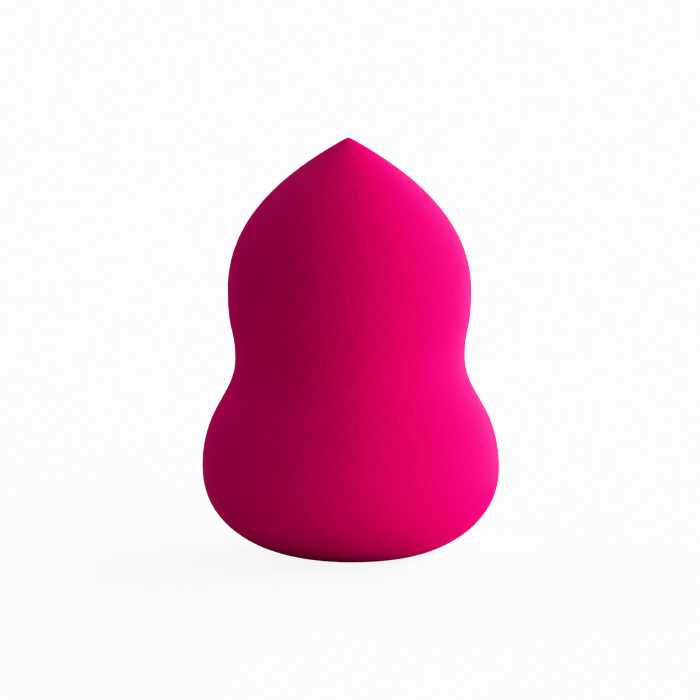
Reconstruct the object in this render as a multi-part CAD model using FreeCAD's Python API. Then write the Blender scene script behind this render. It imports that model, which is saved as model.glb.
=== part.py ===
import FreeCAD, Part
import math
import os

# Makeup sponge in the shape of a gourd: one moulded piece of open-cell foam.
# Millimetres. The origin is the centre of the flat face the sponge rests on, and +Z runs up its axis to the tip.
# The piece is one closed profile, drawn in the XZ plane, turned about the Z axis.

# Rises of the four stretches of the profile, from the rest face up. Together they make the overall height.
BASE_RISE = 12.6       # rest face to the widest girth of the base bulb
SHOULDER_RISE = 16.0   # widest girth of the base bulb to the waist
NECK_RISE = 9.8        # waist to the widest girth of the crown
CROWN_RISE = 21.6      # widest girth of the crown to the tip

# Diameters of the rest face and of the three girths.
REST_DIAMETER = 15.0
BASE_DIAMETER = 42.6
WAIST_DIAMETER = 32.9
CROWN_DIAMETER = 34.8

# The two ends of the profile. The slopes are in degrees from the horizontal.
REST_EDGE_SLOPE = 6.5  # the underside, where it lifts off the rest face
TIP_SLOPE = 28.5       # the flanks of the crown, where they meet the tip
TIP_RADIUS = 0.4       # rounding of the tip itself

# Fullness at each end of each stretch: how far the curve keeps its direction there, as a share of the stretch.
UNDERSIDE_FULLNESS_AT_REST = 0.47
UNDERSIDE_FULLNESS_AT_BASE = 0.62
SHOULDER_FULLNESS_AT_BASE = 0.56
SHOULDER_FULLNESS_AT_WAIST = 0.35
NECK_FULLNESS_AT_WAIST = 0.44
NECK_FULLNESS_AT_CROWN = 0.65
CROWN_FULLNESS_AT_GIRTH = 0.39
CROWN_FULLNESS_AT_TIP = 0.65

UP = FreeCAD.Vector(0, 0, 1)
ORIGIN = FreeCAD.Vector(0, 0, 0)


def on_profile(radius, height):
    return FreeCAD.Vector(radius, 0, height)


def at_slope(degrees):
    """Unit vector in the profile's plane, outward and upward at this slope."""
    slope = math.radians(degrees)
    return on_profile(math.cos(slope), math.sin(slope))


def stretch(start, leaving, end, arriving):
    """Smooth curve between two points that leaves along one vector and arrives along another."""
    curve = Part.BezierCurve()
    curve.setPoles([start, start + leaving, end - arriving, end])
    return curve.toShape()


def underside(rest_edge, base_girth):
    """Low dome between the rest face and the widest girth of the base bulb."""
    lift_off = at_slope(REST_EDGE_SLOPE)
    reach = (base_girth.x - rest_edge.x) / lift_off.x
    return stretch(rest_edge, lift_off * (UNDERSIDE_FULLNESS_AT_REST * reach),
                   base_girth, UP * (UNDERSIDE_FULLNESS_AT_BASE * BASE_RISE))


def shoulder(base_girth, waist):
    """Draw-in from the base bulb to the waist."""
    return stretch(base_girth, UP * (SHOULDER_FULLNESS_AT_BASE * SHOULDER_RISE),
                   waist, UP * (SHOULDER_FULLNESS_AT_WAIST * SHOULDER_RISE))


def neck(waist, crown_girth):
    """Gentle swell from the waist to the widest girth of the crown."""
    return stretch(waist, UP * (NECK_FULLNESS_AT_WAIST * NECK_RISE),
                   crown_girth, UP * (NECK_FULLNESS_AT_CROWN * NECK_RISE))


def crown_and_tip(crown_girth, tip):
    """Pointed crown, with flanks that run at the tip's slope into the small round of the tip."""
    tip_centre = tip - UP * TIP_RADIUS
    flank_edge = tip_centre + at_slope(90 - TIP_SLOPE) * TIP_RADIUS
    round_middle = tip_centre + at_slope(90 - TIP_SLOPE / 2) * TIP_RADIUS
    inward = at_slope(180 - TIP_SLOPE)
    slant = (flank_edge.x - crown_girth.x) / inward.x
    flank = stretch(crown_girth, UP * (CROWN_FULLNESS_AT_GIRTH * CROWN_RISE),
                    flank_edge, inward * (CROWN_FULLNESS_AT_TIP * slant))
    return [flank, Part.Arc(flank_edge, round_middle, tip).toShape()]


def sponge_body():
    """The whole sponge: rest face, base bulb, waist, crown and tip in one turned solid."""
    rest_edge = on_profile(REST_DIAMETER / 2, 0)
    base_girth = on_profile(BASE_DIAMETER / 2, BASE_RISE)
    waist = on_profile(WAIST_DIAMETER / 2, base_girth.z + SHOULDER_RISE)
    crown_girth = on_profile(CROWN_DIAMETER / 2, waist.z + NECK_RISE)
    tip = on_profile(0, crown_girth.z + CROWN_RISE)
    outline = [
        Part.makeLine(ORIGIN, rest_edge),
        underside(rest_edge, base_girth),
        shoulder(base_girth, waist),
        neck(waist, crown_girth),
        *crown_and_tip(crown_girth, tip),
        Part.makeLine(tip, ORIGIN),
    ]
    half_section = Part.Face(Part.Wire(outline))
    return half_section.revolve(ORIGIN, UP, 360)


os.makedirs("parts", exist_ok=True)
sponge_body().exportStep("parts/sponge_body.step")
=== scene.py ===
import math

import bmesh
import bpy
import numpy as np
from mathutils import Matrix, Vector, noise


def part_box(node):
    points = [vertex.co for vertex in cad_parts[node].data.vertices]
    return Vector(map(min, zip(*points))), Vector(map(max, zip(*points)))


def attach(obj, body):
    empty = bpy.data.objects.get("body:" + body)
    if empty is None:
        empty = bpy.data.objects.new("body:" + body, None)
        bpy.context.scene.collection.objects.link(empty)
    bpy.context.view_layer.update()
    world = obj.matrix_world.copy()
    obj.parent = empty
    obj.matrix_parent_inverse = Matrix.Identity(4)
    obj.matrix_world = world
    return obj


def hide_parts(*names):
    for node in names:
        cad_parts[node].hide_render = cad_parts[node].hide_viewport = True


# Makeup sponge: one foam piece in the shape of the CAD solid, on a pale floor under soft studio light.
# Metres throughout. The camera is on the -Y side, +X is to the right in the picture and +Z is up.

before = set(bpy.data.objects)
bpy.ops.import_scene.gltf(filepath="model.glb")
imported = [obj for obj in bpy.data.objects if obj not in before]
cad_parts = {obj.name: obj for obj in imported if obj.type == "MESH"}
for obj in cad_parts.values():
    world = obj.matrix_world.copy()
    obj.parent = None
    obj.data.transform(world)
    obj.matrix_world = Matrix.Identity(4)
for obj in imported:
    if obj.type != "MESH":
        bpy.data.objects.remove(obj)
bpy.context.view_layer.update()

MM = 0.001
NODE = "sponge_body"
low_corner, high_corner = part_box(NODE)
floor_height = low_corner.z
middle = (low_corner + high_corner) / 2


# Shape

OUTLINE_STEP = 0.5 * MM      # least distance between the outline's points on the CAD mesh
OUTLINE_SAMPLES = 4000       # fine samples along the smooth outline
GRID = 128                   # quads along each edge of the cube that the foam's mesh is wrapped from

LEAN = math.radians(0.45)    # the axis leans to the left in the picture while the girths stay level
WAVE_SIZE = 14 * MM          # slow unevenness of the moulded form
WAVE_DEPTH = 0.09 * MM
GRAIN_SIZE = 1.1 * MM        # unevenness of the foam's surface
GRAIN_DEPTH = 0.016 * MM


def cad_outline(node):
    """Points (radius, height) of the node's half outline, from the middle of the rest face up to the tip."""
    vertices = np.array([v.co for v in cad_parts[node].data.vertices])
    points = np.stack([np.hypot(vertices[:, 0], vertices[:, 1]), vertices[:, 2]], axis=1)
    # Seen from the middle of the axis, the points of the outline follow one another by their angle.
    turn = np.arctan2(points[:, 1] - middle.z, points[:, 0])
    points = points[np.argsort(turn)]
    rest_edge = points[0]
    rest_face = np.arange(0, rest_edge[0], OUTLINE_STEP)
    kept = [np.array([radius, floor_height]) for radius in rest_face] + [rest_edge]
    tip = np.array([0, high_corner.z])
    for point in points:
        if min(math.dist(point, kept[-1]), math.dist(point, tip)) > OUTLINE_STEP:
            kept.append(point)
    return np.array(kept + [tip])


def smooth_through(points, count):
    """Points at equal steps along a smooth curve through the given ones."""
    steps = np.hypot(*np.diff(points, axis=0).T)
    along = np.concatenate([[0], np.cumsum(steps)])
    slopes = np.gradient(points, along, axis=0)
    at = np.linspace(0, along[-1], count)
    # Each stretch is a cubic between its two points, with their slopes.
    i = np.clip(np.searchsorted(along, at, side="right") - 1, 0, len(steps) - 1)
    step = steps[i][:, None]
    t = (at - along[i])[:, None] / step
    start = (1 + 2 * t) * points[i] + t * step * slopes[i]
    end = (3 - 2 * t) * points[i + 1] + (t - 1) * step * slopes[i + 1]
    return (1 - t) ** 2 * start + t ** 2 * end


def wrapped_cube():
    """Cube of GRID x GRID quads a side, as a mesh and as evenly spread directions from its middle."""
    bm = bmesh.new()
    bmesh.ops.create_cube(bm, size=2)
    bmesh.ops.subdivide_edges(bm, edges=bm.edges, cuts=GRID - 1, use_grid_fill=True)
    mesh = bpy.data.meshes.new("sponge")
    bm.to_mesh(mesh)
    bm.free()
    spread = np.tan(np.array([v.co for v in mesh.vertices]) * math.pi / 4)
    return mesh, spread / np.linalg.norm(spread, axis=1)[:, None]


def surface_points(directions):
    """Where each direction lands on the sponge, and the outward normal there; equal areas stay equal."""
    outline = smooth_through(cad_outline(NODE), OUTLINE_SAMPLES)
    outline[:, 1] = np.maximum(outline[:, 1], floor_height)
    radius, height = outline.T
    run, rise = np.gradient(radius), np.gradient(height)
    length = np.hypot(run, rise)
    ring_area = (radius[1:] + radius[:-1]) * np.hypot(np.diff(radius), np.diff(height))
    area_below = np.concatenate([[0], np.cumsum(ring_area)]) / ring_area.sum()
    share = (1 + directions[:, 2]) / 2
    around = np.arctan2(directions[:, 1], directions[:, 0])

    def turned(outward, up):
        outward = np.interp(share, area_below, outward)
        up = np.interp(share, area_below, up)
        return np.stack([outward * np.cos(around), outward * np.sin(around), up], axis=1)

    return turned(radius, height), turned(rise / length, -run / length)


def unevenness(points):
    """Height of the foam's surface over the smooth form, at each point."""
    waves = [noise.noise(Vector(p) / WAVE_SIZE) for p in points]
    grain = [noise.noise(Vector(p) / GRAIN_SIZE) for p in points]
    return WAVE_DEPTH * np.array(waves) + GRAIN_DEPTH * np.array(grain)


def sponge():
    """The foam piece: the CAD form with its unevenness, and with its girths tilted a little on the axis."""
    mesh, directions = wrapped_cube()
    points, normals = surface_points(directions)
    points += normals * unevenness(points)[:, None]
    points[:, 2] -= points[:, 0] * math.tan(LEAN)
    points[:, 2] = np.maximum(points[:, 2], floor_height)
    mesh.vertices.foreach_set("co", points.ravel())
    mesh.polygons.foreach_set("use_smooth", np.ones(len(mesh.polygons), bool))
    mesh.update()
    piece = bpy.data.objects.new("sponge", mesh)
    bpy.context.scene.collection.objects.link(piece)
    return piece


# Foam

PINK = (0.93, 0.0003, 0.128, 1)
DEEP_PINK = (0.86, 0.0003, 0.118, 1)
# dark pink painted into the middle of the pores as shade
PAINTED_PORE_SHADE = (0.50, 0.0001, 0.065, 1)
FUZZ_PINK = (1.0, 0.0, 0.26, 1)
FUZZ = 0.42                  # fuzz of cut cells, seen where the foam turns away
FUZZ_SPREAD = 0.5
GLOSS = 0.00085              # the foam is dull but for a pale edge against the light
ROUGHNESS = (0.40, 0.50)     # on the skin and in the cells
DYE_SIZE = 9 * MM            # slow change of the dye
DYE_DETAIL = 3.0             # finer layers of that change
CLUMP_SIZE = 0.7 * MM        # clumps of cells
CLUMP_RELIEF = 0.032 * MM
CELL_SPACING = 0.20 * MM     # the foam's cells, cut open at the surface
CELL_RADIUS = (0.25, 0.60)   # least and greatest, as shares of the spacing
CELL_DEPTH = 0.03 * MM
CELL_PAINTED_SHADE = 0.35            # share of the dark pore colour painted into the middle of a cell as shade
HOLE_SPACING = 0.50 * MM     # burst cells, larger and rarer
HOLE_RADIUS = (0.02, 0.34)
HOLE_DEPTH = 0.05 * MM
# share of the dark pore colour painted into the middle of a hole as shade
HOLE_PAINTED_SHADE = 0.85
STRAY_SIZE = 0.7 * MM        # how the cells stray from even rows
STRAY = 0.5 * MM


class Nodes:
    """Adds shader nodes to a material or a world, and links them by the order or names of their sockets."""

    def __init__(self, owner):
        owner.use_nodes = True
        self.tree = owner.node_tree
        self.tree.nodes.clear()

    def feed(self, socket, value):
        if isinstance(value, bpy.types.NodeSocket):
            self.tree.links.new(value, socket)
        else:
            socket.default_value = value

    def add(self, kind, settings=None, inputs=(), **sockets):
        node = self.tree.nodes.new("ShaderNode" + kind)
        for name, value in (settings or {}).items():
            setattr(node, name, value)
        for socket, value in zip(node.inputs, inputs):
            self.feed(socket, value)
        for name, value in sockets.items():
            self.feed(node.inputs[name.replace("_", " ")], value)
        return node


def pores(n, place, spacing, radius):
    """1 in the middle of a pore and 0 outside it, for round pores of mixed sizes."""
    dots = n.add("TexVoronoi", Vector=place, Scale=1 / spacing)
    chance = n.add("SeparateColor", Color=dots.outputs["Color"])
    edge = n.add("MapRange", Value=chance.outputs["Red"], To_Min=radius[0], To_Max=radius[1])
    smooth = {"interpolation_type": "SMOOTHSTEP"}
    inside = n.add("MapRange", smooth, Value=dots.outputs["Distance"], From_Min=edge.outputs[0], From_Max=0.0)
    return inside.outputs[0]


def strayed(n, place):
    """The place, moved a little this way and that, so that the cells don't lie in rows."""
    drift = n.add("TexNoise", Vector=place, Scale=1 / STRAY_SIZE)
    moved = [drift.outputs["Color"], (STRAY, STRAY, STRAY), place]
    return n.add("VectorMath", {"operation": "MULTIPLY_ADD"}, moved).outputs[0]


def painted_pore_shade(n, colour, inside, share):
    """The colour with painted shade: it goes over to the given share of the dark pore colour in the middle of
    each pore.
    """
    amount = n.add("MapRange", Value=inside, To_Max=share)
    return n.add("MixRGB", Fac=amount.outputs[0], Color1=colour, Color2=PAINTED_PORE_SHADE).outputs[0]


def pitted(n, normal, inside, depth):
    """The normal, with each pore sunk into the surface."""
    return n.add("Bump", {"invert": True}, Height=inside, Distance=depth, Normal=normal).outputs[0]


def foam():
    """Dyed foam whose cells are cut open at the surface, with painted shade in the middle of each pore."""
    material = bpy.data.materials.new("sponge_foam")
    n = Nodes(material)
    place = n.add("TexCoord").outputs["Object"]
    cell_place = strayed(n, place)
    cells = pores(n, cell_place, CELL_SPACING, CELL_RADIUS)
    holes = pores(n, cell_place, HOLE_SPACING, HOLE_RADIUS)

    dye = n.add("TexNoise", Vector=place, Scale=1 / DYE_SIZE, Detail=DYE_DETAIL)
    dyed = n.add("MixRGB", Fac=dye.outputs["Fac"], Color1=DEEP_PINK, Color2=PINK)
    # Painted shade: the dye darkens towards the middle of each cell and hole.
    cell_shade_painted = painted_pore_shade(n, dyed.outputs[0], cells, CELL_PAINTED_SHADE)
    colour = painted_pore_shade(n, cell_shade_painted, holes, HOLE_PAINTED_SHADE)

    clumps = n.add("TexNoise", Vector=place, Scale=1 / CLUMP_SIZE)
    clumped = n.add("Bump", Height=clumps.outputs["Fac"], Distance=CLUMP_RELIEF)
    with_cells = pitted(n, clumped.outputs[0], cells, CELL_DEPTH)
    relief = pitted(n, with_cells, holes, HOLE_DEPTH)

    rough = n.add("MapRange", Value=cells, To_Min=ROUGHNESS[0], To_Max=ROUGHNESS[1])
    shader = n.add(
        "BsdfPrincipled",
        Base_Color=colour,
        Roughness=rough.outputs[0],
        Normal=relief,
        Specular_IOR_Level=GLOSS,
        Sheen_Weight=FUZZ,
        Sheen_Roughness=FUZZ_SPREAD,
        Sheen_Tint=FUZZ_PINK,
    )
    n.add("OutputMaterial", Surface=shader.outputs[0])
    return material


# Studio

FLOOR_RADIUS = 6.0
FLOOR_SHADE = (0.9, 0.9, 0.9, 1)
FLOOR_GLOW = 1.3             # lifts the floor to white and leaves a faint shadow on it
CARD_RADIUS = 90 * MM        # card under the sponge, which throws light back up at it
CARD_DEPTH = 0.2 * MM        # how far it lies under the floor, so that it casts no shadow on it
CARD_SHIFT = -30 * MM        # it reaches further to the left, and low light passes its right edge
CARD_SHADE = 0.55
PAINTED_CONTACT_SHADOW = (10 * MM, 21 * MM)  # painted contact shadow: radii between which the card goes from black to its shade
DISC_SIDES = 96
LIGHT_WIDTH = 60             # degrees
WHITE = (1, 1, 1)
COOL = (0.95, 0.95, 1.25)
AMBIENT = (0.155, 0.155, 0.20, 1)  # light from all round
BACKDROP = (2.05, 2.05, 2.05, 1)   # what the camera sees beyond the floor


def disc(name, radius, height):
    """Round flat piece of the stage."""
    mesh = bpy.data.meshes.new(name)
    bm = bmesh.new()
    bmesh.ops.create_circle(bm, cap_ends=True, segments=DISC_SIDES, radius=radius)
    bm.to_mesh(mesh)
    bm.free()
    piece = bpy.data.objects.new(name, mesh)
    piece.location.z = height
    bpy.context.scene.collection.objects.link(piece)
    return piece


def floor_paint():
    """Pale paint that glows, so that the shadow on it stays faint."""
    material = bpy.data.materials.new("pale_floor")
    n = Nodes(material)
    shade = n.add("BsdfDiffuse", Color=FLOOR_SHADE)
    glow = n.add("Emission", Strength=FLOOR_GLOW)
    both = n.add("AddShader", inputs=[shade.outputs[0], glow.outputs[0]])
    n.add("OutputMaterial", Surface=both.outputs[0])
    return material


def floor():
    """The pale floor in the picture. It sends no light to the sponge, because the card does that."""
    piece = disc("floor", FLOOR_RADIUS, floor_height)
    piece.data.materials.append(floor_paint())
    piece.visible_diffuse = False
    piece.visible_glossy = False
    piece.visible_shadow = False
    return piece


def card_paint():
    """Painted contact shadow: black under the sponge, in its own shade, and pale around it."""
    material = bpy.data.materials.new("card")
    n = Nodes(material)
    place = n.add("TexCoord").outputs["Object"]
    radius = n.add("VectorMath", {"operation": "LENGTH"}, [place]).outputs["Value"]
    # Painted shadow: the card goes from black to pale with the distance from the sponge's axis.
    shade = n.add("MapRange", Value=radius, From_Min=PAINTED_CONTACT_SHADOW[0], From_Max=PAINTED_CONTACT_SHADOW[1], To_Max=CARD_SHADE)
    paint = n.add("BsdfDiffuse", Color=shade.outputs[0])
    n.add("OutputMaterial", Surface=paint.outputs[0])
    return material


def card():
    """The card, which the sponge sees and the camera doesn't."""
    piece = disc("card", CARD_RADIUS, floor_height - CARD_DEPTH)
    piece.data.materials.append(card_paint())
    piece.data.transform(Matrix.Translation((CARD_SHIFT, 0, 0)))
    piece.visible_camera = False
    return piece


def soft_light(name, azimuth, elevation, brightness, colour):
    """Far, wide light. Azimuth 0 is the camera's side and 90 is to the right in the picture."""
    data = bpy.data.lights.new(name, "SUN")
    data.angle = math.radians(LIGHT_WIDTH)
    data.color = colour
    data.energy = brightness * math.pi
    a, e = math.radians(azimuth), math.radians(elevation)
    towards = Vector((math.sin(a) * math.cos(e), -math.cos(a) * math.cos(e), math.sin(e)))
    lamp = bpy.data.objects.new(name, data)
    lamp.location = middle + towards
    lamp.rotation_euler = towards.to_track_quat("Z", "Y").to_euler()
    bpy.context.scene.collection.objects.link(lamp)


def studio_light():
    """Bright from the right and from behind on the right, with a little light from everywhere else."""
    soft_light("front_right", azimuth=45, elevation=15, brightness=0.27, colour=WHITE)
    soft_light("right", azimuth=90, elevation=8, brightness=1.20, colour=WHITE)
    soft_light("back_right", azimuth=135, elevation=6, brightness=1.83, colour=WHITE)
    soft_light("back_left", azimuth=215, elevation=45, brightness=0.27, colour=COOL)
    world = bpy.data.worlds.new("studio")
    bpy.context.scene.world = world
    n = Nodes(world)
    seen = n.add("LightPath").outputs["Is Camera Ray"]
    shade = n.add("MixRGB", Fac=seen, Color1=AMBIENT, Color2=BACKDROP)
    back = n.add("Background", Color=shade.outputs[0])
    n.add("OutputWorld", Surface=back.outputs[0])


# Camera

CAMERA_DISTANCE = 0.6
CAMERA_ELEVATION = 7         # degrees
VIEW_WIDTH = 100.1 * MM      # what the picture's width takes in, at the sponge's axis
AIM_HEIGHT = 29.5 * MM


def camera():
    """The photo's angle, rolled so that the girths look level and the axis leans."""
    data = bpy.data.cameras.new("camera")
    data.lens = data.sensor_width * CAMERA_DISTANCE / VIEW_WIDTH
    eye = bpy.data.objects.new("camera", data)
    e = math.radians(CAMERA_ELEVATION)
    eye.location = (0, -CAMERA_DISTANCE * math.cos(e), AIM_HEIGHT + CAMERA_DISTANCE * math.sin(e))
    eye.rotation_euler = (math.pi / 2 - e, 0, 0)
    eye.rotation_euler.rotate_axis("Z", -LEAN)
    bpy.context.scene.collection.objects.link(eye)
    bpy.context.scene.camera = eye


FILM_LINEAR = 0.5            # brightness up to which the film answers in proportion
FILM_RANGE = 3.0             # brightness that it takes in
FILM_POINTS = 13
ALL_COLOURS = 3              # which of the film's curves acts on red, green and blue alike


def film():
    """Soft shoulder of the photograph's highlights."""
    view = bpy.context.scene.view_settings
    view.view_transform = "Standard"
    view.use_curve_mapping = True
    mapping = view.curve_mapping
    mapping.white_level = (FILM_RANGE, FILM_RANGE, FILM_RANGE)
    curve = mapping.curves[ALL_COLOURS]
    # The curve has its two end points already.
    for light in np.linspace(0, FILM_RANGE, FILM_POINTS)[1:-1]:
        over = max(light - FILM_LINEAR, 0) / FILM_LINEAR
        answer = min(light, FILM_LINEAR) + (1 - FILM_LINEAR) * (1 - math.exp(-over))
        curve.points.new(light / FILM_RANGE, answer)
    mapping.update()


piece = sponge()
piece.data.materials.append(foam())
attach(piece, "root")
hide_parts(NODE)
floor()
card()
studio_light()
camera()
film()
